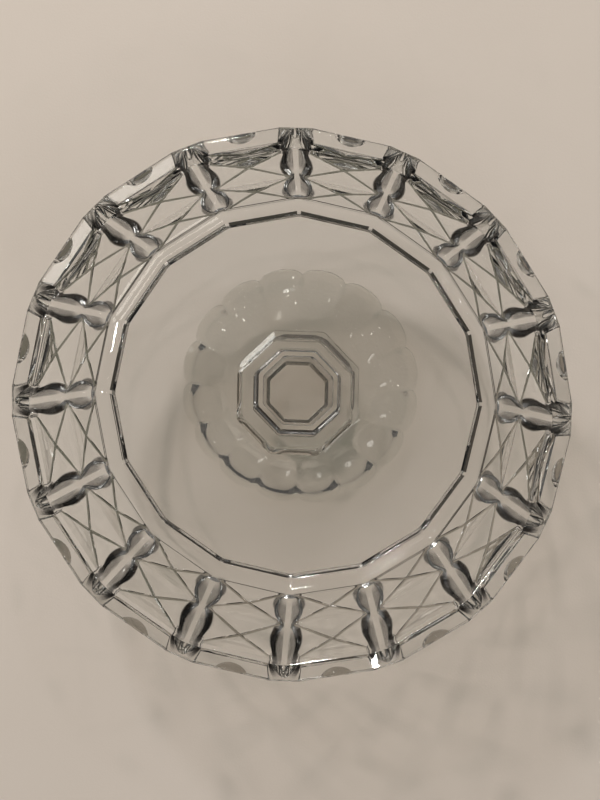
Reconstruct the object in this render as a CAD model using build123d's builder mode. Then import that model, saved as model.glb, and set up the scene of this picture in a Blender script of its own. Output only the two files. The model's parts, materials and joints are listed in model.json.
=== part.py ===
"""Footed cake stand in clear pressed glass: a 16-sided plate with a raised, patterned
gallery wall, an eight-sided stem with a hollow plug under it, and a lobed foot whose
eight-sided socket the plug drops into.

Millimetres, +Z up. The origin is the centre of the ring that the foot stands on.
"""
from build123d import *
import os
from math import cos, hypot, pi, sin, tan

# ---- driving dimensions ------------------------------------------------------------
SIDES = 16                      # sides of the plate, and lobes of the foot
STEM_SIDES = 8
PITCH = 360 / SIDES

RIM_R = 140.0                   # centre to a corner of the 16-sided rim
RIM_CORNER_FLAT = 15.0          # width of the short flat that cuts off each rim corner
RIM_Z = 84.0                    # outer edge of the lip
RIM_UNDER_R, RIM_UNDER_Z = 139.0, 79.5   # outer, lower edge of the rim band
CREST_R, CREST_Z = 129.0, 88.0  # inner, highest edge of the lip
CREST_OUTER_R = 130.0           # outer edge of the narrow flat along the crest

FLOOR_Z = 46.5                  # flat floor that carries the cake
FLOOR_R = 94.5                  # corner radius of the flat floor
FLOOR_STEP = 1.2                # step at the edge of the flat floor
STEP_RUN = 0.8                  # how far that step leans outwards
FLOOR_THICK = 4.6
COVE_R, COVE_Z = 102.0, 51.5    # where the wall's inner face starts

BASE_R = 96.0                   # corner radius of the plate's flat underside
WALL_FOOT_R, WALL_FOOT_Z = 106.0, 46.5   # lower end of the pattern on the outside
WAIST_R, WAIST_Z = 117.5, 60.5           # where the pillars are narrowest
PATTERN_TOP_R = 132.0                    # upper end of the pattern, under the rim band

PILLAR_TOP_W = 7.7              # half widths of a pillar: top, waist and foot
PILLAR_WAIST_W = 4.0
PILLAR_FOOT_W = 7.3
PILLAR_PROUD = 4.6              # how far a pillar stands out of the wall
FACET_UPPER_H = 2.6             # height of the upper and lower four-sided points
FACET_LOWER_H = 1.8
FACET_BED = 0.6                 # how deep a point is bedded in the wall
SCOOP_R = 14.0                  # thumb-shaped scoop under the middle of each rim side
SCOOP_OUT = 6.0                 # its centre's distance outside the rim's side
SCOOP_DOWN = 10.0               # its centre's distance below the rim band

STEM_TOP_A = 29.5               # half width across flats under the plate
STEM_WAIST_A = 27.8
STEM_SHOULDER_A = 31.8          # half width across flats of the shoulder
SHOULDER_Z = 20.0               # the stem's shoulder rests on the foot's collar here
SHOULDER_EDGE = 2.0             # height of the shoulder's upright edge
STEM_WAIST_RISE = 9.0           # height of the stem's waist above its shoulder
PLUG_A = 22.4                   # half width across flats of the plug, at its top
PLUG_TIP_A = 22.0
PLUG_Z = 6.0                    # lower end of the plug
PLUG_CHAMBER_TOP_A, PLUG_CHAMBER_TIP_A = 15.7, 18.4
PLUG_CHAMBER_Z = 16.0           # ceiling of the hollow in the plug
SOCKET_GAP = 0.4                # clearance on each flat between plug and socket

FOOT_R = 63.0                   # centre to the tip of a lobe
LOBE_R = 0.25                   # radius of a lobe, as a share of the tip radius
FOOT_EDGE_Z = 5.0               # height of the foot's upright edge
FOOT_PROFILE = ((54.0, 10.5), (43.5, 16.0), (38.0, 18.5))      # lobe tip radius, height
HOLLOW_PROFILE = ((55.5, 0.0), (52.5, 4.0), (44.5, 8.0), (37.0, 12.0), (30.0, 14.5))

BEDDED = 1.0                    # how far a shape is sunk into the one it is fused to
OVERCUT = 1.0                   # how far a cut runs past the face that it opens

HALF_PITCH = pi / SIDES         # half of one side's angle, in radians


# ---- helpers -----------------------------------------------------------------------
def inner_radius(z):
    """Corner radius of the wall's inner face at height z."""
    return COVE_R + (CREST_R - COVE_R) * (z - COVE_Z) / (CREST_Z - COVE_Z)


def stacked_loft(sections, sides, cut_corners=False):
    """One faceted solid through (corner radius, height) sections of a regular polygon."""
    with BuildPart() as stack:
        for radius, height in sections:
            with BuildSketch(Plane.XY.offset(height)):
                RegularPolygon(radius, sides)
                if cut_corners:
                    blunt = radius - RIM_CORNER_FLAT / 2 * tan(HALF_PITCH)
                    RegularPolygon(blunt, sides, major_radius=False, rotation=PITCH / 2,
                                   mode=Mode.INTERSECT)
        loft(ruled=True)
    return stack.part


def octagon_loft(sections):
    """One faceted solid through (half width across flats, height) sections of an octagon."""
    with BuildPart() as stack:
        for half_width, height in sections:
            with BuildSketch(Plane.XY.offset(height)):
                RegularPolygon(half_width, STEM_SIDES, major_radius=False,
                               rotation=180 / STEM_SIDES)
        loft(ruled=True)
    return stack.part


def pillar():
    """One half-round pillar at angle 0: wide at both ends, with a narrow waist."""
    stations = ((PATTERN_TOP_R, RIM_UNDER_Z + BEDDED, PILLAR_TOP_W),
                (WAIST_R, WAIST_Z, PILLAR_WAIST_W),
                (WALL_FOOT_R, WALL_FOOT_Z, PILLAR_FOOT_W))
    with BuildPart() as rib:
        for radius, height, half_width in stations:
            plane = Plane(origin=(radius, 0, height), z_dir=(0, 0, 1))
            with BuildSketch(plane):
                Ellipse(PILLAR_PROUD, half_width)
        loft()
    return rib.part


def wall_point(lower, upper, rise):
    """A low four-sided point on the flat between two pillars, at angle PITCH / 2.

    lower and upper are (corner radius, height, pillar half width) of its two ends.
    """
    ends = []
    for radius, height, pillar_half in (lower, upper):
        ends.append((radius * cos(HALF_PITCH), height, radius * sin(HALF_PITCH) - pillar_half))
    (a0, z0, w0), (a1, z1, w1) = ends
    slant = hypot(a1 - a0, z1 - z0)
    outward = Vector(z1 - z0, 0, a0 - a1) / slant
    base = Plane(origin=Vector(a0, 0, z0) - outward * FACET_BED, x_dir=(0, 1, 0), z_dir=outward)
    apex_share = w0 / (w0 + w1)
    apex = Vector(a0, 0, z0) + Vector(a1 - a0, 0, z1 - z0) * apex_share + outward * rise
    with BuildPart() as point:
        with BuildSketch(base) as outline:
            Polygon((-w0, 0), (w0, 0), (w1, slant), (-w1, slant), align=None)
        loft(sections=[outline.sketch.face(), Vertex(*apex)])
    return point.part


def lobed_sketch(tip_radius, height):
    """The foot's outline at one height: SIDES round lobes with cusps between them."""
    lobe = tip_radius * LOBE_R
    with BuildSketch(Plane.XY.offset(height)) as outline:
        Circle(tip_radius - lobe)
        with PolarLocations(tip_radius - lobe, SIDES, start_angle=PITCH / 2):
            Circle(lobe)
    return outline.sketch


# ---- the plate: floor, cove, gallery wall and lip, pressed in one ----------------------
outer_shell = stacked_loft(((BASE_R, FLOOR_Z - FLOOR_THICK), (WALL_FOOT_R, WALL_FOOT_Z),
                            (WAIST_R, WAIST_Z), (PATTERN_TOP_R, RIM_UNDER_Z)), SIDES)
rim_band = stacked_loft(((RIM_UNDER_R, RIM_UNDER_Z), (RIM_R, RIM_Z), (CREST_OUTER_R, CREST_Z)),
                        SIDES, cut_corners=True)
bed_space = stacked_loft(((FLOOR_R, FLOOR_Z), (FLOOR_R + STEP_RUN, FLOOR_Z + FLOOR_STEP),
                          (COVE_R, COVE_Z), (CREST_R, CREST_Z),
                          (inner_radius(CREST_Z + OVERCUT), CREST_Z + OVERCUT)), SIDES)
one_pillar = pillar()
upper_point = wall_point((WAIST_R, WAIST_Z, PILLAR_WAIST_W),
                         (PATTERN_TOP_R, RIM_UNDER_Z, PILLAR_TOP_W), FACET_UPPER_H)
lower_point = wall_point((WALL_FOOT_R, WALL_FOOT_Z, PILLAR_FOOT_W),
                         (WAIST_R, WAIST_Z, PILLAR_WAIST_W), FACET_LOWER_H)
rim_apothem = RIM_R * cos(HALF_PITCH)

with BuildPart() as cake_plate:
    add(outer_shell)
    add(rim_band)
    with PolarLocations(0, SIDES):
        add(one_pillar)
    with PolarLocations(0, SIDES, start_angle=PITCH / 2):
        add(upper_point)
        add(lower_point)
    add(bed_space, mode=Mode.SUBTRACT)
    with PolarLocations(rim_apothem + SCOOP_OUT, SIDES, start_angle=PITCH / 2):
        with Locations((0, 0, RIM_UNDER_Z - SCOOP_DOWN)):
            Sphere(SCOOP_R, mode=Mode.SUBTRACT)
cake_plate.part.label = "cake_plate"

# ---- the stem: an eight-sided waisted block with a hollow plug below its shoulder ------
with BuildPart() as octagonal_stem:
    add(octagon_loft(((STEM_SHOULDER_A, SHOULDER_Z),
                      (STEM_SHOULDER_A, SHOULDER_Z + SHOULDER_EDGE),
                      (STEM_WAIST_A, SHOULDER_Z + STEM_WAIST_RISE),
                      (STEM_TOP_A, FLOOR_Z - FLOOR_THICK))))
    add(octagon_loft(((PLUG_TIP_A, PLUG_Z), (PLUG_A, SHOULDER_Z))))
    add(octagon_loft(((PLUG_CHAMBER_TIP_A, PLUG_Z), (PLUG_CHAMBER_TOP_A, PLUG_CHAMBER_Z))),
        mode=Mode.SUBTRACT)
octagonal_stem.part.label = "octagonal_stem"

# ---- the foot: a lobed bell with a collar and an eight-sided socket through it ---------
with BuildPart() as lobed_foot:
    add(lobed_sketch(FOOT_R, 0))
    extrude(amount=FOOT_EDGE_Z)
    add(lobed_sketch(FOOT_R, FOOT_EDGE_Z))
    for tip_radius, height in FOOT_PROFILE:
        add(lobed_sketch(tip_radius, height))
    loft(ruled=True)
    collar_foot_z = FOOT_PROFILE[-1][1] - BEDDED
    add(octagon_loft(((STEM_SHOULDER_A, collar_foot_z), (STEM_SHOULDER_A, SHOULDER_Z))))
    with BuildSketch(Plane.XZ):
        with BuildLine():
            Polyline((0, -OVERCUT), (HOLLOW_PROFILE[0][0], -OVERCUT), *HOLLOW_PROFILE,
                     (0, HOLLOW_PROFILE[-1][1]), close=True)
        make_face()
    revolve(axis=Axis.Z, mode=Mode.SUBTRACT)
    socket_a = PLUG_A + SOCKET_GAP
    add(octagon_loft(((socket_a, HOLLOW_PROFILE[-1][1] - OVERCUT),
                      (socket_a, SHOULDER_Z + OVERCUT))),
        mode=Mode.SUBTRACT)
lobed_foot.part.label = "lobed_foot"

# ---- write one STEP for each piece ---------------------------------------------------
os.makedirs("parts", exist_ok=True)
for piece in (cake_plate, octagonal_stem, lobed_foot):
    export_step(piece.part, f"parts/{piece.part.label}.step")
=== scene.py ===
"""Visual model of a low footed cake stand in clear pressed glass.

The stand is a sixteen-sided plate with a patterned gallery wall, fused to an eight-sided
stem whose hollow plug drops into the socket of a lobed foot. Every piece is built in
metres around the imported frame, with +Z up and the origin under the middle of the foot.
"""

import json
import logging
import math
from dataclasses import dataclass, replace
from enum import Enum
from typing import Any, Sequence

import bmesh
import bpy
from mathutils import Matrix, Vector


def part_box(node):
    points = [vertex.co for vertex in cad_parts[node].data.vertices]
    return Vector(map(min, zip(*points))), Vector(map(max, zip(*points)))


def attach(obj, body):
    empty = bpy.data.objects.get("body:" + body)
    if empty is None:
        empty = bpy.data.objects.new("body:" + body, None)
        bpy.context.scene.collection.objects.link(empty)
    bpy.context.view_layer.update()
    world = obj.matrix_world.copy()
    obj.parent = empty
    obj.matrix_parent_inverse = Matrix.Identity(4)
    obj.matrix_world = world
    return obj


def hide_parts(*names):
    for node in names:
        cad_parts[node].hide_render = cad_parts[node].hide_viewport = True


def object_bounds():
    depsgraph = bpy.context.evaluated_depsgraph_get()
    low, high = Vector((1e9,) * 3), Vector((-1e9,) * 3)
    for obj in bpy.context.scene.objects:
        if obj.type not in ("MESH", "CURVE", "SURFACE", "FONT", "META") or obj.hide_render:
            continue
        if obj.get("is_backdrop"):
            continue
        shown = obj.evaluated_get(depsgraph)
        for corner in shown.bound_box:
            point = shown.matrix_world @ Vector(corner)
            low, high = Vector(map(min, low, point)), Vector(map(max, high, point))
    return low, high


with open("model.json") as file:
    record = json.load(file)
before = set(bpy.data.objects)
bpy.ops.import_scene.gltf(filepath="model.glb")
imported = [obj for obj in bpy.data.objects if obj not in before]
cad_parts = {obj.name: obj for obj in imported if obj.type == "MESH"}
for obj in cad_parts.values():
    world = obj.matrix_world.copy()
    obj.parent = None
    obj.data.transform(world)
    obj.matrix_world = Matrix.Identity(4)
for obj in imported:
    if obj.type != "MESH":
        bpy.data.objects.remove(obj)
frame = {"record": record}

MM = 0.001
SIDES = 16
STEM_SIDES = 8
HALF_PITCH = math.pi / SIDES
MERGE_DISTANCE = 0.002 * MM
KEY_DIGITS = 7
GROOVE_SLACK = 0.05
STEEP_EDGE = math.radians(30)

Ring = list[Vector]
Colour = tuple[float, float, float]

log = logging.getLogger("cake_stand")


class Body(Enum):
    """The two bodies that the stand comes apart into."""

    FOOT = "foot"
    PLATE = "plate"


# ---- shader maths --------------------
class Socket:
    """A shader socket that can be used in Python sums and products."""

    def __init__(self, shop: "NodeShop", link: bpy.types.NodeSocket) -> None:
        """Keep the output socket and the shop that adds nodes beside it."""
        self.shop = shop
        self.link = link

    def _math(self, operation: str, first: Any, second: Any) -> "Socket":
        """Add one Math node.

        Args:
            operation: Name of the Math node's operation.
            first: Its first number or socket.
            second: Its second number or socket.

        Returns:
            The node's result.
        """
        return self.shop.node("ShaderNodeMath", {"operation": operation}, {0: first, 1: second})

    def __add__(self, other: Any) -> "Socket":
        """Return the sum."""
        return self._math("ADD", self, other)

    def __mul__(self, other: Any) -> "Socket":
        """Return the product."""
        return self._math("MULTIPLY", self, other)

    def __sub__(self, other: Any) -> "Socket":
        """Return the difference."""
        return self._math("SUBTRACT", self, other)

    def __truediv__(self, other: Any) -> "Socket":
        """Return the quotient."""
        return self._math("DIVIDE", self, other)

    def sine(self) -> "Socket":
        """Return the sine."""
        return self._math("SINE", self, 0.0)

    def root(self) -> "Socket":
        """Return the square root."""
        return self._math("SQRT", self, 0.0)

    def __rsub__(self, other: Any) -> "Socket":
        """Return the difference from a number on the left."""
        return self._math("SUBTRACT", other, self)

    def zigzag(self, turn: float) -> "Socket":
        """Return the value folded to and fro between 0 and a turning point."""
        return self._math("PINGPONG", self, turn)

    __radd__ = __add__
    __rmul__ = __mul__


class NodeShop:
    """Adds nodes to one material and links them."""

    def __init__(self, name: str) -> None:
        """Make an empty node material.

        Args:
            name: The material's name.
        """
        self.material = bpy.data.materials.new(name)
        self.material.use_nodes = True
        self.tree = self.material.node_tree
        self.tree.nodes.clear()

    def node(self, kind: str, settings: dict[str, Any] | None = None,
             inputs: dict[Any, Any] | None = None, output: Any = 0) -> Socket:
        """Add any node.

        Args:
            kind: The node's type.
            settings: Attributes set before its sockets are filled.
            inputs: Values or sockets, by the input's name or number.
            output: Name or number of the output that is handed back.

        Returns:
            The chosen output.
        """
        made = self.tree.nodes.new(kind)
        for key, value in (settings or {}).items():
            setattr(made, key, value)
        for key, value in (inputs or {}).items():
            if isinstance(value, Socket):
                self.tree.links.new(value.link, made.inputs[key])
            else:
                made.inputs[key].default_value = value
        return Socket(self, made.outputs[output])

    def place(self) -> Socket:
        """Return the point on the piece, in metres, in the frame's axes."""
        return self.node("ShaderNodeTexCoord", output="Object")

    def noise(self, scale: float, detail: float = 2.0) -> Socket:
        """Add a soft noise.

        Args:
            scale: Noise cells in a metre.
            detail: Octaves of finer noise.

        Returns:
            The noise's factor.
        """
        return self.node("ShaderNodeTexNoise", {}, {"Vector": self.place(), "Scale": scale,
                                                    "Detail": detail}, "Fac")

    def blend(self, share: Socket, first: Colour | Socket, second: Colour) -> Socket:
        """Mix two colours.

        Args:
            share: How much of the second colour there is.
            first: Colour where the share is 0.
            second: Colour where the share is 1.

        Returns:
            The mixed colour.
        """
        start = first if isinstance(first, Socket) else (*first, 1.0)
        return self.node("ShaderNodeMix", {"data_type": "RGBA"},
                         {0: share, 6: start, 7: (*second, 1.0)}, 2)

    def ease(self, value: Socket, start: float, end: float) -> Socket:
        """Rise smoothly from 0 to 1 while a value goes from start to end.

        Args:
            value: The value to follow.
            start: Where the result is 0.
            end: Where the result is 1.

        Returns:
            The eased share.
        """
        return self.node("ShaderNodeMapRange", {"interpolation_type": "SMOOTHSTEP"},
                         {0: value, 1: start, 2: end})

    def finish(self, surface: Socket, volume: Socket | None = None) -> bpy.types.Material:
        """Send the shaders to the material's output.

        Args:
            surface: The surface shader.
            volume: The volume shader, if the material has one.

        Returns:
            The material.
        """
        shaders = {"Surface": surface}
        if volume is not None:
            shaders["Volume"] = volume
        out = self.tree.nodes.new("ShaderNodeOutputMaterial")
        for name, shader in shaders.items():
            self.tree.links.new(shader.link, out.inputs[name])
        return self.material


@dataclass(frozen=True)
class RibShade:
    """The deep shade that gathers along both sides of each barrel of a rib."""

    foot_z: float
    waist_z: float
    top_z: float
    waist_half: float
    barrel_half: float
    wall_point: tuple[float, float]
    wall_normal: tuple[float, float]
    wall_depth: float = 4.5
    depth_blur: float = 0.5
    core_half: float = 1.7
    core_blur: float = 0.9
    waist_blur: float = 2.0
    grey_share: float = 0.5
    lower_share: float = 0.4
    deep_from: tuple[float, float] = (0.60, 0.84)
    ended_from: tuple[float, float] = (1.03, 1.18)
    swell_from: tuple[float, float] = (0.15, 0.8)
    strength: float = 0.86
    colour: Colour = (0.03, 0.024, 0.02)

    def mask(self, shop: NodeShop) -> Socket:
        """Find the shade's place on the glass.

        Args:
            shop: The glass's node shop.

        Returns:
            1 in the middle of the shade, 0 away from it.
        """
        apart = [shop.node("ShaderNodeSeparateXYZ", {}, {0: shop.place()}, axis) / MM
                 for axis in range(3)]
        x, y, z = apart
        radius = (x * x + y * y).root()
        angle = shop.node("ShaderNodeMath", {"operation": "ARCTAN2"}, {0: y, 1: x})
        aside = radius * angle.zigzag(HALF_PITCH).sine()
        swell = 0.0
        for low, high in ((self.foot_z, self.waist_z), (self.waist_z, self.top_z)):
            climb = shop.node("ShaderNodeMapRange", {}, {0: z, 1: low, 2: high, 3: 0.0,
                                                         4: math.pi})
            swell = climb.sine() + swell
        half = swell * (self.barrel_half - self.waist_half) + self.waist_half
        share = aside / half
        grey = shop.ease(aside, self.core_half, self.core_half + self.core_blur)
        deep = shop.ease(share, *self.deep_from)
        upper = shop.ease(z, self.waist_z - self.waist_blur, self.waist_z + self.waist_blur)
        deepness = upper * (1 - self.lower_share) + self.lower_share
        strip = grey * self.grey_share + deep * (1 - self.grey_share) * deepness
        ended = shop.ease(share, *self.ended_from)
        depth = ((radius - self.wall_point[0]) * self.wall_normal[0]
                 + (z - self.wall_point[1]) * self.wall_normal[1])
        outside = shop.ease(depth, self.wall_depth - self.depth_blur,
                            self.wall_depth + self.depth_blur)
        return strip * (1 - ended) * shop.ease(swell, *self.swell_from) * outside


@dataclass(frozen=True)
class PaintedShadeSkin:
    """Painted shade on a cut or an edge: the darkening it shows when seen from inside the glass,
    painted into its colour and metal.
    """

    name: str
    slot: int
    colour: Colour
    haze: float
    metal: float
    shadow: Colour = (0.975, 0.97, 0.965)


# Painted shade for the mitre cuts and scoops, the groove and the wall's foot line, and the stem's
# upright sides.
MITRE_PAINTED_SHADE = PaintedShadeSkin("mitre_cut_painted_shade", 1, (0.41, 0.345, 0.305), 0.3, 0.0)
LINE_PAINTED_SHADE = PaintedShadeSkin("edge_line_painted_shade", 2, (0.09, 0.072, 0.058), 0.1, 0.6)
PLUG_PAINTED_SHADE = PaintedShadeSkin("plug_side_painted_shade", 3, (0.21, 0.187, 0.168), 0.25, 0.38)
PAINTED_SHADE_SKINS = (MITRE_PAINTED_SHADE, LINE_PAINTED_SHADE, PLUG_PAINTED_SHADE)


@dataclass(frozen=True)
class ClearGlass:
    """Pressed soda glass: clear, a little green in its depth, with a faintly wavy skin."""

    clear: Colour = (0.978, 0.984, 0.980)
    cloudy: Colour = (0.955, 0.966, 0.958)
    depth_colour: Colour = (0.82, 0.85, 0.832)
    depth_density: float = 3.2
    index: float = 1.51
    cloud_scale: float = 18.0
    least_rough: float = 0.006
    rough_spread: float = 0.02
    wave_scale: float = 42.0
    ripple_scale: float = 210.0
    ripple_share: float = 0.12
    wave_height: float = 0.35 * MM
    wave_strength: float = 0.16
    shadow: Colour = (0.90, 0.89, 0.875)

    def material(self, name: str, shade: RibShade | None = None,
                 painted_skin: PaintedShadeSkin | None = None) -> bpy.types.Material:
        """Build the glass.

        Args:
            name: The material's name.
            shade: The shade along its ribs, if the piece has any.
            painted_skin: The painted shade that darkens it, for the sides of cuts and edges.

        Returns:
            The material.
        """
        shop = NodeShop(name)
        clouds = shop.noise(self.cloud_scale)
        shadow, metallic = self.shadow, 0.0
        # Painted shade: cut and edge faces get a darker tint and some metal.
        if painted_skin is not None:
            tint = shop.blend(clouds * painted_skin.haze, painted_skin.colour, self.cloudy)
            shadow, metallic = painted_skin.shadow, painted_skin.metal
        else:
            tint = shop.blend(clouds, self.clear, self.cloudy)
        # Painted shade along both sides of the ribs, in the tint and the metal.
        if shade is not None:
            mask = shade.mask(shop)
            tint = shop.blend(mask, tint, shade.colour)
            metallic = mask * shade.strength
        waves = shop.noise(self.wave_scale) + shop.noise(self.ripple_scale) * self.ripple_share
        bump = shop.node("ShaderNodeBump", {}, {"Height": waves, "Distance": self.wave_height,
                                                "Strength": self.wave_strength})
        body = shop.node("ShaderNodeBsdfPrincipled", {}, {
            "Base Color": tint,
            "Metallic": metallic,
            "Roughness": clouds * self.rough_spread + self.least_rough,
            "IOR": self.index,
            "Transmission Weight": 1.0,
            "Normal": bump,
        })
        lit_through = shop.node("ShaderNodeBsdfTransparent", {}, {"Color": (*shadow, 1.0)})
        is_shadow = shop.node("ShaderNodeLightPath", output="Is Shadow Ray")
        surface = shop.node("ShaderNodeMixShader", {}, {0: is_shadow, 1: body, 2: lit_through})
        depth = shop.node("ShaderNodeVolumeAbsorption", {},
                          {"Color": (*self.depth_colour, 1.0), "Density": self.depth_density})
        return shop.finish(surface, depth)


@dataclass(frozen=True)
class PaleCloth:
    """The plain pale cover of the table."""

    name: str = "pale_table_cover"
    light: Colour = (0.62, 0.555, 0.495)
    dark: Colour = (0.56, 0.495, 0.43)
    patch_scale: float = 5.0
    patch_detail: float = 4.0
    weave_scale: float = 900.0
    weave_detail: float = 1.0
    weave_height: float = 0.15 * MM
    weave_strength: float = 0.4
    roughness: float = 0.9

    def material(self) -> bpy.types.Material:
        """Build the cover's material.

        Returns:
            The material.
        """
        shop = NodeShop(self.name)
        patches = shop.noise(self.patch_scale, self.patch_detail)
        weave = shop.noise(self.weave_scale, self.weave_detail)
        bump = shop.node("ShaderNodeBump", {}, {"Height": weave, "Distance": self.weave_height,
                                                "Strength": self.weave_strength})
        body = shop.node("ShaderNodeBsdfPrincipled", {}, {
            "Base Color": shop.blend(patches, self.light, self.dark),
            "Roughness": self.roughness,
            "Normal": bump,
        })
        return shop.finish(body)


# ---- modelling moves --------------------
def sided_ring(radius: float, height: float, corner_half: float, sides: int = SIDES,
               first_corner: float = 0.0) -> Ring:
    """One ring of a regular polygon whose corners are cut off by short flats.

    Args:
        radius: Centre to an uncut corner, in millimetres.
        height: Height of the ring.
        corner_half: Half the width of the flat at each corner.
        sides: How many sides the polygon has.
        first_corner: Angle of the first corner.

    Returns:
        Two points for each corner, in order of angle, in metres.
    """
    half = math.pi / sides
    step = corner_half / math.cos(half)
    points = []
    for corner in range(sides):
        angle = first_corner + corner * 2 * half
        for way in (-1, 1):
            along = angle + way * (math.pi / 2 + half)
            x = radius * math.cos(angle) + step * math.cos(along)
            y = radius * math.sin(angle) + step * math.sin(along)
            points.append(Vector((x, y, height)) * MM)
    return points


class Bench:
    """Moves that several pieces share, made with the modelling operators."""

    @staticmethod
    def clear() -> None:
        """Leave edit mode and deselect everything."""
        if bpy.context.object and bpy.context.object.mode != "OBJECT":
            bpy.ops.object.mode_set(mode="OBJECT")
        bpy.ops.object.select_all(action="DESELECT")

    @staticmethod
    def take(piece: bpy.types.Object) -> None:
        """Select one piece and make it active.

        Args:
            piece: The piece to work on.
        """
        Bench.clear()
        piece.select_set(True)
        bpy.context.view_layer.objects.active = piece

    @staticmethod
    def stack(name: str, rings: Sequence[Ring], capped: bool) -> bpy.types.Object:
        """Extrude a circle from ring to ring.

        Args:
            name: Name of the new piece.
            rings: Rings with the same number of points, in order along the surface.
            capped: True to close the two ends, False where the last ring meets the first.

        Returns:
            The new piece, with its faces outwards.
        """
        Bench.clear()
        bpy.ops.mesh.primitive_circle_add(vertices=len(rings[0]), radius=MM,
                                          fill_type="NGON" if capped else "NOTHING")
        piece = bpy.context.object
        piece.name = name
        bpy.ops.object.mode_set(mode="EDIT")
        order: dict[tuple[float, ...], int] = {}
        for level, ring in enumerate(rings):
            if level:
                bpy.ops.mesh.extrude_region_move()
            shell = bmesh.from_edit_mesh(piece.data)
            chosen = [v for v in shell.verts if v.select]
            if level:
                chosen.sort(key=lambda v: order[v.co.to_tuple(KEY_DIGITS)])
            else:
                chosen.sort(key=lambda v: math.atan2(v.co.y, v.co.x) % math.tau)
            for vertex, point in zip(chosen, ring):
                vertex.co = point
            order = {v.co.to_tuple(KEY_DIGITS): i for i, v in enumerate(chosen)}
            bmesh.update_edit_mesh(piece.data)
        Bench.heal()
        return piece

    @staticmethod
    def heal() -> None:
        """Merge doubles, turn faces outwards and leave edit mode."""
        bpy.ops.mesh.select_all(action="SELECT")
        bpy.ops.mesh.remove_doubles(threshold=MERGE_DISTANCE)
        bpy.ops.mesh.normals_make_consistent(inside=False)
        bpy.ops.object.mode_set(mode="OBJECT")

    @staticmethod
    def ease_edges(piece: bpy.types.Object, sharpest: float, width: float,
                   segments: int = 2) -> None:
        """Round the edges of a piece.

        Args:
            piece: The piece to work on.
            sharpest: Edges that turn by more than this angle are rounded.
            width: Width of the rounding, in metres.
            segments: How many faces each rounding has.
        """
        Bench.take(piece)
        bpy.ops.object.mode_set(mode="EDIT")
        bpy.ops.mesh.select_mode(type="EDGE")
        bpy.ops.mesh.select_all(action="DESELECT")
        bpy.ops.mesh.edges_select_sharp(sharpness=sharpest)
        bpy.ops.mesh.bevel(offset=width, segments=segments, affect="EDGES", clamp_overlap=True)
        bpy.ops.mesh.select_mode(type="VERT")
        Bench.heal()

    @staticmethod
    def around(piece: bpy.types.Object, count: int, first: float = 0.0) -> bpy.types.Object:
        """Copy a piece around the axis and join the copies.

        Args:
            piece: The piece at angle 0, which becomes the first copy.
            count: How many there are in the end.
            first: Angle of the first one.

        Returns:
            One object that holds them all.
        """
        ring = [piece]
        for _ in range(1, count):
            twin = piece.copy()
            twin.data = piece.data.copy()
            bpy.context.scene.collection.objects.link(twin)
            ring.append(twin)
        for index, member in enumerate(ring):
            member.data.transform(Matrix.Rotation(first + index * math.tau / count, 4, "Z"))
        Bench.take(piece)
        for member in ring:
            member.select_set(True)
        bpy.ops.object.join()
        return piece

    @staticmethod
    def combine(piece: bpy.types.Object, tool: bpy.types.Object, operation: str) -> None:
        """Join a second shape to a piece, or cut it away, and remove that shape.

        Args:
            piece: The piece that stays.
            tool: The shape that is used up.
            operation: UNION or DIFFERENCE.
        """
        cut = piece.modifiers.new("combine", "BOOLEAN")
        cut.object = tool
        cut.operation = operation
        cut.solver = "EXACT"
        Bench.take(piece)
        bpy.ops.object.modifier_apply(modifier=cut.name)
        bpy.data.objects.remove(tool)

    @staticmethod
    def polish(piece: bpy.types.Object, smooth_below: float) -> None:
        """Close seams, shade the curved faces smooth and keep the flat ones flat.

        Args:
            piece: The finished mesh.
            smooth_below: Edges that turn by less than this angle are shaded smooth.
        """
        Bench.take(piece)
        bpy.ops.object.mode_set(mode="EDIT")
        Bench.heal()
        bpy.ops.object.shade_smooth_by_angle(angle=smooth_below)
        flats = piece.modifiers.new("flats", "WEIGHTED_NORMAL")
        flats.keep_sharp = True
        bpy.ops.object.modifier_apply(modifier=flats.name)


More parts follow.
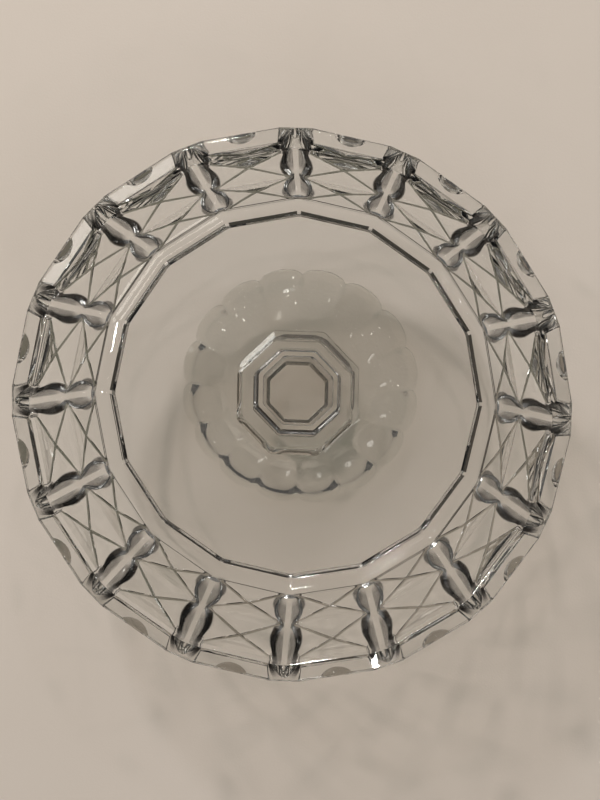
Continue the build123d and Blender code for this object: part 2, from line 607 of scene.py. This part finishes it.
# ---- the plate and its stem --------------------
@dataclass
class PlateAndStem:
    """The cake plate with the stem and plug under it, which are one piece of glass.

    Radii are to the corners of the sixteen-sided plate, and half widths of the stem are
    across flats. All are in millimetres.
    """

    crest_z: float
    base_z: float
    floor_z: float
    shoulder_z: float
    plug_z: float
    crest_r: float = 129.0
    rim_r: float = 140.0
    rim_drop: float = 4.0
    band_height: float = 4.5
    rim_corner_half: float = 7.5
    floor_r: float = 94.5
    cove_r: float = 102.0
    cove_rise: float = 5.0
    base_r: float = 96.0
    wall_foot: tuple[float, float] = (106.0, 4.6)
    wall_waist: tuple[float, float] = (117.5, 18.6)
    wall_top_r: float = 132.0
    wall_corner_halves: tuple[float, float, float] = (4.6, 3.4, 5.0)
    narrow_corner: float = 1.0
    groove_depth: float = 1.7
    groove_in: float = 1.4
    groove_tip_in: float = 0.2
    groove_out: float = 0.8
    band_inset: float = 1.6
    band_round: float = 2.2
    lip_inset: float = 1.2
    lip_round: float = 0.6
    crest_inset: float = 0.6
    crest_round: float = 0.9
    cove_steps: int = 6
    cove_first_turn: float = 1.45
    cove_turn: float = 0.25
    widest_corner_face: float = 3e-4        # in square metres
    upper_point_height: float = 3.2
    lower_point_height: float = 2.5
    cut_radius: float = 0.95
    end_cut_radius: float = 0.5
    edge_round: float = 0.4
    scoop_r: float = 15.0
    scoop_out: float = 5.0
    scoop_down: float = 10.5
    name: str = "plate_glass"

    def outer_wall(self) -> list[tuple[float, float]]:
        """Return (corner radius, height) of the wall's foot, waist and top on the outside."""
        foot_r, foot_up = self.wall_foot
        waist_r, waist_up = self.wall_waist
        band_z = self.crest_z - self.rim_drop - self.band_height
        return [(foot_r, self.base_z + foot_up), (waist_r, self.base_z + waist_up),
                (self.wall_top_r, band_z)]

    def shell(self) -> bpy.types.Object:
        """Stack the plate's floor, wall and lip.

        Returns:
            The plate without its pattern.
        """
        foot, waist, top = self.outer_wall()
        foot_corner, waist_corner, top_corner = self.wall_corner_halves
        thin = self.narrow_corner
        rim_z = self.crest_z - self.rim_drop
        outline = (
            (self.floor_r - self.groove_in, self.base_z, thin),
            (self.floor_r - self.groove_tip_in, self.base_z + self.groove_depth, thin),
            (self.floor_r + self.groove_out, self.base_z, thin),
            (self.base_r + 0.6, self.base_z + 0.4, thin),
            (*foot, foot_corner),
            (*waist, waist_corner),
            (*top, top_corner),
            (self.rim_r - self.band_inset, top[1] + 0.4, self.rim_corner_half),
            (self.rim_r, top[1] + self.band_round, self.rim_corner_half),
            (self.rim_r, rim_z - self.lip_round, self.rim_corner_half),
            (self.rim_r - self.lip_inset, rim_z + self.lip_round, self.rim_corner_half),
            (self.crest_r + 0.5, self.crest_z, self.rim_corner_half / 2),
            (self.crest_r - self.crest_inset, self.crest_z - self.crest_round, thin),
        )
        cove_run = self.cove_r + 0.8 - self.floor_r
        turns = [self.cove_first_turn - self.cove_turn * step for step in range(self.cove_steps)]
        cove = tuple((self.floor_r + cove_run * math.sin(turn),
                      self.floor_z + (self.cove_rise + 1.0) * (1 - math.cos(turn)) + 0.5, thin)
                     for turn in turns)
        edge = ((self.floor_r + 0.4, self.floor_z + 0.45, thin), (self.floor_r, self.floor_z, thin))
        rings = [sided_ring(radius, height, corner)
                 for radius, height, corner in outline + cove + edge]
        return Bench.stack(self.name, rings, capped=True)

    def mark_lines(self, plate: bpy.types.Object) -> None:
        """Paint shade on the groove under the floor's edge and the wall's foot with the dark
        painted-shade material.

        Args:
            plate: The plate's shell, with its material slots.
        """
        foot_r, foot_up = self.wall_foot
        foot_flat = foot_r * math.cos(HALF_PITCH)
        for face in plate.data.polygons:
            up = face.center.z / MM - self.base_z
            reach = math.hypot(face.center.x, face.center.y) / MM
            groove = GROOVE_SLACK < up < self.groove_depth + GROOVE_SLACK and reach < self.floor_r
            foot = abs(up - foot_up) < self.edge_round and reach > foot_flat - self.edge_round
            if groove or foot:
                face.material_index = LINE_PAINTED_SHADE.slot

    def raise_points(self, plate: bpy.types.Object) -> None:
        """Raise a four-sided point on each upper and lower panel of the wall.

        Args:
            plate: The plate's shell.
        """
        foot, waist, top = self.outer_wall()
        rows = (((foot[1] + waist[1]) / 2, self.lower_point_height),
                ((waist[1] + top[1]) / 2, self.upper_point_height))
        for middle, height in rows:
            Bench.take(plate)
            bpy.ops.object.mode_set(mode="EDIT")
            bpy.ops.mesh.select_mode(type="FACE")
            bpy.ops.mesh.select_all(action="DESELECT")
            shell = bmesh.from_edit_mesh(plate.data)
            for face in shell.faces:
                centre = face.calc_center_median()
                outside = face.normal.x * centre.x + face.normal.y * centre.y > 0
                level = abs(centre.z - middle * MM) < MM
                face.select_set(outside and level and face.calc_area() > self.widest_corner_face)
            bmesh.update_edit_mesh(plate.data)
            bpy.ops.mesh.poke(offset=height * MM, center_mode="MEDIAN")
            bpy.ops.mesh.select_mode(type="VERT")
            Bench.heal()

    def mitre_cuts(self, way: int) -> bpy.types.Object:
        """Bars that cut the crossing lines into the wall, all leaning the same way.

        Args:
            way: 1 or -1, for the side that the upper end of each line leans to.

        Returns:
            Four-sided bars that follow the ridges of the points.
        """
        foot, waist, top = self.outer_wall()
        foot_corner, waist_corner, top_corner = self.wall_corner_halves
        panels = ((foot, foot_corner, waist, waist_corner, self.lower_point_height),
                  (waist, waist_corner, top, top_corner, self.upper_point_height))
        bars = []
        for (low_r, low_z), low_corner, (high_r, high_z), high_corner, rise in panels:
            low_x, high_x = low_r * math.cos(HALF_PITCH), high_r * math.cos(HALF_PITCH)
            start = Vector((low_x, -way * (low_r * math.sin(HALF_PITCH) - low_corner), low_z))
            end = Vector((high_x, way * (high_r * math.sin(HALF_PITCH) - high_corner), high_z))
            outward = Vector((high_z - low_z, 0, low_x - high_x)).normalized()
            middle = Vector(((low_x + high_x) / 2, 0, (low_z + high_z) / 2)) + outward * rise
            across = (end - start).cross(outward).normalized()
            rings = []
            for near, far, shares in ((start, middle, (0.0, 0.5)), (middle, end, (0.0, 0.5, 1.0))):
                for share in shares:
                    centre = near.lerp(far, share)
                    at_end = abs((centre - middle).length / (end - middle).length)
                    size = self.cut_radius + (self.end_cut_radius - self.cut_radius) * at_end ** 2
                    rings.append([(centre + (outward * math.cos(turn) + across * math.sin(turn))
                                   * size) * MM for turn in (0, math.pi / 2, math.pi, -math.pi / 2)])
            bars.append(Bench.stack("cut", rings, capped=True))
        Bench.take(bars[0])
        bars[1].select_set(True)
        bpy.ops.object.join()
        return Bench.around(bars[0], SIDES, HALF_PITCH)


@dataclass
class Pillar:
    """One upright rib at a corner of the wall: two barrels, one above the other."""

    foot: tuple[float, float]
    waist: tuple[float, float]
    top: tuple[float, float]
    end_half: float = 4.6
    waist_half: float = 3.9
    barrel_half: float = 7.9
    foot_proud: float = 2.2
    end_proud: float = 5.6
    waist_proud: float = 4.8
    barrel_proud: float = 5.4
    rings_each: int = 11
    points: int = 28
    dome_step: float = 0.01
    dome_sizes: tuple[float, ...] = (0.35, 0.75, 0.94)
    head_half: float = 8.6
    head_drop_in: float = 11.0
    head_drop_out: float = 4.5
    head_inset: float = 3.0
    head_gap: float = 0.4
    head_taper: float = 0.85
    head_round: float = 0.9

    def station(self, low: tuple[float, float], high: tuple[float, float], share: float,
                ends: tuple[float, float], prouds: tuple[float, float]) -> Ring:
        """One oval across the rib.

        Args:
            low: Corner radius and height of the barrel's lower end.
            high: Corner radius and height of the barrel's upper end.
            share: How far up the barrel the oval is, from 0 to 1.
            ends: Half widths at the lower and upper end.
            prouds: How far the rib stands out at the lower and upper end.

        Returns:
            The oval's points, in metres.
        """
        run, rise = high[0] - low[0], high[1] - low[1]
        length = math.hypot(run, rise)
        outward = Vector((rise, 0, -run)) / length
        swell = math.sin(math.pi * share) if 0 < share < 1 else 0.0
        half = ends[0] + (ends[1] - ends[0]) * share
        half += (self.barrel_half - half) * swell
        proud = prouds[0] + (prouds[1] - prouds[0]) * share
        proud += (self.barrel_proud - proud) * swell
        centre = Vector((low[0] + run * share, 0, low[1] + rise * share))
        ring = []
        for index in range(self.points):
            turn = math.tau * index / self.points
            across = Vector((0, half * math.cos(turn), 0))
            ring.append((centre + across + outward * proud * math.sin(turn)) * MM)
        return ring

    def build(self) -> bpy.types.Object:
        """Stack the two barrels at angle 0.

        Returns:
            The rib, a closed shape half bedded in the wall.
        """
        rings = []
        for index, size in enumerate(self.dome_sizes):
            oval = self.station(self.foot, self.waist, self.dome_step * index,
                                (self.end_half, self.waist_half),
                                (self.foot_proud, self.waist_proud))
            middle = sum(oval, Vector()) / len(oval)
            rings.append([middle + (point - middle) * size for point in oval])
        for index in range(1, self.rings_each + 1):
            rings.append(self.station(self.foot, self.waist, index / self.rings_each,
                                      (self.end_half, self.waist_half),
                                      (self.foot_proud, self.waist_proud)))
        for index in range(1, self.rings_each + 1):
            rings.append(self.station(self.waist, self.top, index / self.rings_each,
                                      (self.waist_half, self.end_half + 1),
                                      (self.waist_proud, self.end_proud)))
        return Bench.stack("rib", rings, capped=True)

    def head(self, reach: float, height: float) -> bpy.types.Object:
        """Block out the head that joins the rib to the corner of the rim, at angle 0.

        Args:
            reach: Centre to the rim's corner flat.
            height: Height of the middle of the rim band.

        Returns:
            The head, with its underside sloping up and outwards.
        """
        Bench.clear()
        inner = self.top[0] - self.head_inset
        bpy.ops.mesh.primitive_cube_add(size=1)
        block = bpy.context.object
        for vertex in block.data.vertices:
            outside, upper = vertex.co.x > 0, vertex.co.z > 0
            low = height - (self.head_drop_out if outside else self.head_drop_in)
            side = self.head_half * (1 if upper or not outside else self.head_taper)
            vertex.co = Vector((reach - self.head_gap if outside else inner,
                                math.copysign(side, vertex.co.y),
                                height if upper else low)) * MM
        Bench.ease_edges(block, STEEP_EDGE, self.head_round * MM)
        return block


@dataclass
class Stem:
    """The eight-sided stem with the hollow plug below its shoulder."""

    top_z: float
    shoulder_z: float
    plug_z: float
    shoulder_a: float = 31.8
    waist_a: float = 27.8
    root_a: float = 30.0
    plug_a: float = 22.4
    plug_tip_a: float = 22.0
    chamber_top_a: float = 15.7
    chamber_tip_a: float = 18.4
    chamber_rise: float = 10.0
    chamber_round: float = 2.0
    tip_round: float = 1.7
    corner_half: float = 0.7
    edge_rise: float = 2.0
    steepest_upright: float = 0.35

    def build(self) -> bpy.types.Object:
        """Stack the stem from its root in the plate down to the plug and into its hollow.

        Returns:
            The stem, with its root bedded in the plate's floor.
        """
        to_corner = 1 / math.cos(math.pi / STEM_SIDES)
        drop = self.top_z - self.shoulder_z
        outline = (
            (self.root_a, self.top_z + 1.2),
            (self.root_a - 0.6, self.top_z - 2.0),
            (self.waist_a + 0.5, self.top_z - drop * 0.34),
            (self.waist_a, self.shoulder_z + drop * 0.42),
            (self.waist_a + 0.8, self.shoulder_z + 5.8),
            (self.waist_a + 2.2, self.shoulder_z + 3.8),
            (self.shoulder_a, self.shoulder_z + self.edge_rise),
            (self.shoulder_a, self.shoulder_z + 0.5),
            (self.shoulder_a - 0.4, self.shoulder_z),
            (self.plug_a + 0.3, self.shoulder_z),
            (self.plug_a, self.shoulder_z - 0.6),
            (self.plug_tip_a, self.plug_z + self.tip_round),
            (self.plug_tip_a - 1.4, self.plug_z),
            (self.chamber_tip_a, self.plug_z),
            (self.chamber_top_a + 0.4, self.plug_z + self.chamber_rise - self.chamber_round),
            (self.chamber_top_a - 1.5, self.plug_z + self.chamber_rise),
        )
        rings = [sided_ring(flat * to_corner, height, self.corner_half, STEM_SIDES,
                            math.pi / STEM_SIDES) for flat, height in outline]
        return Bench.stack("stem", rings, capped=True)

    def mark_sides(self, stem: bpy.types.Object) -> None:
        """Paint shade on the upright sides of the shoulder, the plug and its hollow with the
        painted-shade material.

        Args:
            stem: The stem, with its material slots.
        """
        for face in stem.data.polygons:
            low = face.center.z / MM < self.shoulder_z + self.edge_rise
            if low and abs(face.normal.z) < self.steepest_upright:
                face.material_index = PLUG_PAINTED_SHADE.slot


# ---- the foot --------------------
@dataclass
class LobedFoot:
    """The lobed bell that the stem's plug drops into. Sizes are in millimetres."""

    collar_z: float
    tip_r: float = 63.0
    lobe_end_r: float = 37.3
    edge_z: float = 3.4
    collar_a: float = 31.8
    socket_a: float = 22.8
    gap: float = 0.15
    cusp_share: float = 0.938
    cusp_sharpness: float = 0.975
    points_per_lobe: int = 12
    ridge_height: float = 4.2
    edge_ridge: float = 0.25
    ridge_climb: float = 4.0
    inner_cusps: float = 0.4
    steps: int = 16
    hollow: tuple[tuple[float, float], ...] = (
        (30.0, 14.5), (33.5, 13.6), (37.0, 12.1), (41.0, 10.2), (44.5, 8.1), (48.5, 6.0),
        (52.0, 3.9), (54.4, 1.6), (55.5, 0.3))
    name: str = "foot_glass"

    def angles(self) -> list[float]:
        """Return the angles of a ring's points, which meet every cusp and octagon corner."""
        count = SIDES * self.points_per_lobe
        return [math.tau * index / count for index in range(count)]

    def across_lobe(self, angle: float) -> float:
        """Return where an angle lies across its lobe: 0 in the middle and 1 at a cusp."""
        share = (angle / (2 * HALF_PITCH)) % 1.0
        return abs(2 * share - 1)

    def octagon(self, half_width: float, height: float) -> Ring:
        """A ring of an octagon.

        Args:
            half_width: Half the width across flats.
            height: Height of the ring.

        Returns:
            The ring's points, in metres.
        """
        ring = []
        for angle in self.angles():
            side = math.pi * 2 / STEM_SIDES
            off = (angle + side / 2) % side - side / 2
            radius = half_width / math.cos(off)
            ring.append(Vector((radius * math.cos(angle), radius * math.sin(angle), height)) * MM)
        return ring

    def round_ring(self, radius: float, height: float) -> Ring:
        """A plain round ring.

        Args:
            radius: Its radius.
            height: Its height.

        Returns:
            The ring's points, in metres.
        """
        return [Vector((radius * math.cos(a), radius * math.sin(a), height)) * MM
                for a in self.angles()]

    def lobed(self, radius: float, height: float, depth: float, ridge: float) -> Ring:
        """A ring across the lobes.

        Args:
            radius: Centre to a lobe's middle.
            height: Height of the cusps.
            depth: How far the cusps lie inside that radius, as a share of it.
            ridge: How much higher a lobe's middle is than its cusps.

        Returns:
            The ring's points, in metres.
        """
        ring = []
        for angle in self.angles():
            across = self.across_lobe(angle)
            bow = math.sqrt(1 - self.cusp_sharpness * across ** 2)
            reach = radius * (1 - depth * (1 - bow))
            ring.append(Vector((reach * math.cos(angle), reach * math.sin(angle),
                                height + ridge * (1 - across ** 3))) * MM)
        return ring

    def top_profile(self, share: float) -> tuple[float, float]:
        """The bell's upper side, from its outer edge to the inner ends of the lobes.

        Args:
            share: 0 at the outer edge, 1 at the inner ends.

        Returns:
            Radius and height of the valleys.
        """
        radius = self.tip_r - (self.tip_r - self.lobe_end_r) * share
        low, high = self.edge_z + 1.0, self.collar_z - 2.4
        return radius, low + (high - low) * math.sin(share * math.pi / 2) ** 0.9

    def build(self) -> bpy.types.Object:
        """Stack the foot from its ring up over the lobes, down the socket and back.

        Returns:
            The foot's closed mesh.
        """
        cusp = 1 - self.cusp_share
        rings = [self.round_ring(55.9, 0.0), self.lobed(self.tip_r - 1.0, 0.0, cusp, 0.0),
                 self.lobed(self.tip_r - 0.3, 0.35, cusp, 0.0),
                 self.lobed(self.tip_r, 1.2, cusp, 0.0),
                 self.lobed(self.tip_r, self.edge_z - 0.8, cusp, 0.0)]
        for index in range(self.steps + 1):
            share = index / self.steps
            radius, height = self.top_profile(share)
            fade = 1 - share ** 2
            rise = min(1.0, self.edge_ridge + self.ridge_climb * share)
            rings.append(self.lobed(radius, height, cusp * (1 - share * (1 - self.inner_cusps)),
                                    self.ridge_height * fade * rise))
        top = self.collar_z - self.gap
        rings += [self.octagon(self.collar_a + 0.9, top - 2.0),
                  self.octagon(self.collar_a, top - 1.4), self.octagon(self.collar_a, top - 0.3),
                  self.octagon(self.collar_a - 0.3, top),
                  self.octagon(self.socket_a + 0.5, top), self.octagon(self.socket_a, top - 0.5),
                  self.octagon(self.socket_a, 14.9), self.octagon(self.socket_a + 0.4, 14.5)]
        rings += [self.round_ring(radius, height) for radius, height in self.hollow]
        rings.append(rings[0])
        return Bench.stack(self.name, rings, capped=False)


@dataclass
class CakeStand:
    """The whole stand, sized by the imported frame."""

    glass: ClearGlass
    smooth_below: float = math.radians(24)
    foot_smooth_below: float = math.radians(32)
    eased_above: float = math.radians(7)
    stem_eased_above: float = math.radians(20)
    stem_round: float = 0.3 * MM
    shade_foot_drop: float = 2.0
    shade_waist_drop: float = 3.0
    foot_shadow: Colour = (0.965, 0.96, 0.95)

    def build_plate(self) -> tuple[bpy.types.Object, RibShade]:
        """Model the plate, its pattern and its stem as one piece of glass.

        Returns:
            The finished plate and where its ribs' shade lies.
        """
        plate_low, plate_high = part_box("cake_plate")
        stem_low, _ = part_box("octagonal_stem")
        _, foot_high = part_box("lobed_foot")
        mounts = {mount["name"]: mount for mount in frame["record"]["mounts"]}
        sizes = PlateAndStem(crest_z=plate_high.z / MM, base_z=plate_low.z / MM,
                             floor_z=mounts["cake_floor"]["pos_m"][2] / MM,
                             shoulder_z=foot_high.z / MM, plug_z=stem_low.z / MM)
        plate = sizes.shell()
        sizes.raise_points(plate)
        Bench.ease_edges(plate, self.eased_above, sizes.edge_round * MM)
        # The painted-shade materials darken the cuts, edge lines, scoops and the stem's upright
        # sides.
        skins = [self.glass.material(painted_skin.name, painted_skin=painted_skin) for painted_skin in PAINTED_SHADE_SKINS]
        self.prepare(plate, skins, 0)
        sizes.mark_lines(plate)
        for way in (1, -1):
            cuts = sizes.mitre_cuts(way)
            self.prepare(cuts, skins, MITRE_PAINTED_SHADE.slot)
            Bench.combine(plate, cuts, "DIFFERENCE")
        foot, waist, top = sizes.outer_wall()
        pillar = Pillar(foot, waist, (top[0], top[1] + 1))
        Bench.combine(plate, Bench.around(pillar.build(), SIDES), "UNION")
        heads = pillar.head(plate_high.x / MM, sizes.crest_z - sizes.rim_drop - 1.0)
        Bench.combine(plate, Bench.around(heads, SIDES), "UNION")
        stem_sizes = Stem(sizes.base_z, sizes.shoulder_z, sizes.plug_z)
        stem = stem_sizes.build()
        Bench.ease_edges(stem, self.stem_eased_above, self.stem_round)
        self.prepare(stem, skins, 0)
        stem_sizes.mark_sides(stem)
        Bench.combine(plate, stem, "UNION")
        # The scoops' faces carry the mitre cuts' painted shade.
        scoops = self.scoops(sizes, top[1])
        self.prepare(scoops, skins, MITRE_PAINTED_SHADE.slot)
        Bench.combine(plate, scoops, "DIFFERENCE")
        Bench.polish(plate, self.smooth_below)
        run, rise = sizes.crest_r - sizes.cove_r, sizes.crest_z - sizes.floor_z - sizes.cove_rise
        length = math.hypot(run, rise)
        shade = RibShade(foot[1] - self.shade_foot_drop, waist[1] - self.shade_waist_drop, top[1],
                         pillar.waist_half, pillar.barrel_half,
                         (sizes.cove_r, sizes.floor_z + sizes.cove_rise),
                         (rise / length, -run / length))
        return plate, shade

    def scoops(self, sizes: PlateAndStem, band_z: float) -> bpy.types.Object:
        """Thumb-shaped scoops under the middle of each side of the rim.

        Args:
            sizes: The plate's sizes.
            band_z: Height of the rim band's underside, in millimetres.

        Returns:
            The shapes to be cut away.
        """
        Bench.clear()
        reach = sizes.rim_r * math.cos(HALF_PITCH) + sizes.scoop_out
        bpy.ops.mesh.primitive_uv_sphere_add(segments=40, ring_count=24,
                                             radius=sizes.scoop_r * MM)
        ball = bpy.context.object
        ball.data.transform(Matrix.Translation((reach * MM, 0, (band_z - sizes.scoop_down) * MM)))
        return Bench.around(ball, SIDES, HALF_PITCH)

    @staticmethod
    def prepare(piece: bpy.types.Object, skins: list[bpy.types.Material], use: int) -> None:
        """Give a shape its material slots before shapes are combined.

        Args:
            piece: The shape.
            skins: The painted-shade materials, which follow the plain glass in slot 0.
            use: Slot that the shape's faces use.
        """
        piece.data.materials.clear()
        for material in (None, *skins):
            piece.data.materials.append(material)
        for face in piece.data.polygons:
            face.material_index = use

    def dress(self, piece: bpy.types.Object, glass: bpy.types.Material, body: Body,
              *nodes: str) -> None:
        """Give a piece its glass and tie it to the frame.

        Args:
            piece: The finished piece.
            glass: Its material.
            body: The body that it rides on.
            *nodes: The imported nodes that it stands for.
        """
        piece.data.materials[0] = glass
        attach(piece, body.value)
        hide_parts(*nodes)
        log.info("%s: %d faces, rides on %s", piece.name, len(piece.data.polygons), body.value)

    def build(self) -> None:
        """Build and dress both pieces of glass."""
        plate, shade = self.build_plate()
        self.dress(plate, self.glass.material("plate_glass_skin", shade), Body.PLATE,
                   "cake_plate", "octagonal_stem")
        foot = LobedFoot(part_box("lobed_foot")[1].z / MM).build()
        foot.data.materials.append(None)
        Bench.polish(foot, self.foot_smooth_below)
        foot_glass = replace(self.glass, shadow=self.foot_shadow)
        self.dress(foot, foot_glass.material("foot_glass_skin"), Body.FOOT, "lobed_foot")


# ---- the studio --------------------
@dataclass(frozen=True)
class Lamp:
    """One round soft lamp, aimed at the middle of the plate's crest."""

    name: str
    azimuth: float
    off_axis: float
    distance: float
    width: float
    power: float
    colour: Colour = (1.0, 0.97, 0.93)

    def hang(self, target: Vector) -> None:
        """Put the lamp up.

        Args:
            target: The point that it shines at.
        """
        turn, lean = math.radians(self.azimuth), math.radians(self.off_axis)
        away = Vector((math.sin(lean) * math.cos(turn), math.sin(lean) * math.sin(turn),
                       math.cos(lean)))
        data = bpy.data.lights.new(self.name, "AREA")
        data.shape = "DISK"
        data.size = self.width
        data.energy = self.power
        data.color = self.colour
        lamp = bpy.data.objects.new(self.name, data)
        lamp.location = target + away * self.distance
        lamp.rotation_euler = (-away).to_track_quat("-Z", "Y").to_euler()
        bpy.context.scene.collection.objects.link(lamp)


@dataclass(frozen=True)
class Viewpoint:
    """A camera that looks down on the plate from a little beyond its far side."""

    off_axis: float = 10.0
    azimuth: float = 68.74
    roll: float = -1.3
    distance: float = 0.981
    lens: float = 90.0
    aim: tuple[float, float] = (0.0055, 0.0063)

    def set_up(self, height: float) -> None:
        """Make the camera and use it.

        Args:
            height: Height of the plane that it is aimed at, in metres.
        """
        lean, turn = math.radians(self.off_axis), math.radians(self.azimuth)
        back = Vector((math.sin(lean) * math.cos(turn), math.sin(lean) * math.sin(turn),
                       math.cos(lean)))
        upright = Vector((0, 1, 0))
        upright = (upright - back * upright.dot(back)).normalized()
        upright = Matrix.Rotation(math.radians(self.roll), 3, -back) @ upright
        across = upright.cross(back)
        place = Vector((*self.aim, height)) + back * self.distance
        camera = bpy.data.objects.new("camera", bpy.data.cameras.new("camera"))
        camera.data.lens = self.lens
        turned = Matrix((across, upright, back)).transposed().to_4x4()
        camera.matrix_world = Matrix.Translation(place) @ turned
        bpy.context.scene.collection.objects.link(camera)
        bpy.context.scene.camera = camera


@dataclass(frozen=True)
class Studio:
    """The table, the lamps and the room's own dim light."""

    cover: PaleCloth
    floor_half: float = 12.0
    floor_gap: float = 0.1 * MM
    sky_low: Colour = (0.05, 0.045, 0.041)
    sky_high: Colour = (0.16, 0.155, 0.15)
    lamps: tuple[Lamp, ...] = (
        Lamp("key", 111.0, 56.0, 4.0, 0.34, 84.0),
        Lamp("glint_near", 97.0, 33.0, 1.6, 0.05, 1.8),
        Lamp("glint_far", 120.0, 68.0, 1.6, 0.09, 2.4),
        Lamp("glint_lobes", 136.0, 50.0, 1.6, 0.07, 4.4),
        Lamp("glint_high", 84.0, 50.0, 1.6, 0.06, 3.4),
        Lamp("glint_left", 160.0, 62.0, 1.6, 0.07, 1.6),
        Lamp("glint_right", 20.0, 62.0, 1.6, 0.07, 1.6),
        Lamp("glint_east", -25.0, 42.0, 1.6, 0.06, 1.2),
        Lamp("glint_back", -80.0, 60.0, 1.6, 0.07, 1.6),
        Lamp("glint_west", -140.0, 66.0, 1.6, 0.06, 1.2),
        Lamp("fill", -60.0, 34.0, 4.0, 1.2, 18.0),
    )

    def lay_floor(self) -> None:
        """Lay the table's cover under the stand."""
        Bench.clear()
        bpy.ops.mesh.primitive_plane_add(size=2 * self.floor_half)
        bpy.context.object.data.transform(Matrix.Translation((0, 0, -self.floor_gap)))
        floor = bpy.context.object
        floor.name = "table_cover"
        floor.data.materials.append(self.cover.material())
        floor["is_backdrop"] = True

    def light_room(self) -> None:
        """Light the room, dimly near the horizon and more brightly overhead."""
        world = bpy.data.worlds.new("room")
        world.use_nodes = True
        tree = world.node_tree
        tree.nodes.clear()
        place = tree.nodes.new("ShaderNodeTexCoord")
        split = tree.nodes.new("ShaderNodeSeparateXYZ")
        ramp = tree.nodes.new("ShaderNodeValToRGB")
        ramp.color_ramp.elements[0].color = (*self.sky_low, 1.0)
        ramp.color_ramp.elements[1].color = (*self.sky_high, 1.0)
        glow = tree.nodes.new("ShaderNodeBackground")
        out = tree.nodes.new("ShaderNodeOutputWorld")
        tree.links.new(place.outputs["Generated"], split.inputs[0])
        tree.links.new(split.outputs["Z"], ramp.inputs[0])
        tree.links.new(ramp.outputs[0], glow.inputs[0])
        tree.links.new(glow.outputs[0], out.inputs[0])
        bpy.context.scene.world = world

    def set_up(self, target: Vector) -> None:
        """Lay the floor and put every light up.

        Args:
            target: The point that the lamps shine at.
        """
        self.lay_floor()
        self.light_room()
        for lamp in self.lamps:
            lamp.hang(target)
        bpy.context.scene.view_settings.view_transform = "Standard"
        cycles = bpy.context.scene.cycles
        cycles.caustics_reflective = False
        cycles.caustics_refractive = False
        cycles.max_bounces = 24
        cycles.transmission_bounces = 20
        cycles.transparent_max_bounces = 24
        cycles.diffuse_bounces = 4
        cycles.glossy_bounces = 8


def main() -> None:
    """Build the stand, the studio and the camera in order."""
    logging.basicConfig(level=logging.INFO, format="%(message)s")
    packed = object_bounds()
    CakeStand(ClearGlass()).build()
    crest = packed[1].z
    Studio(PaleCloth()).set_up(Vector((0, 0, crest)))
    Viewpoint().set_up(crest)


if __name__ == "__main__":
    main()
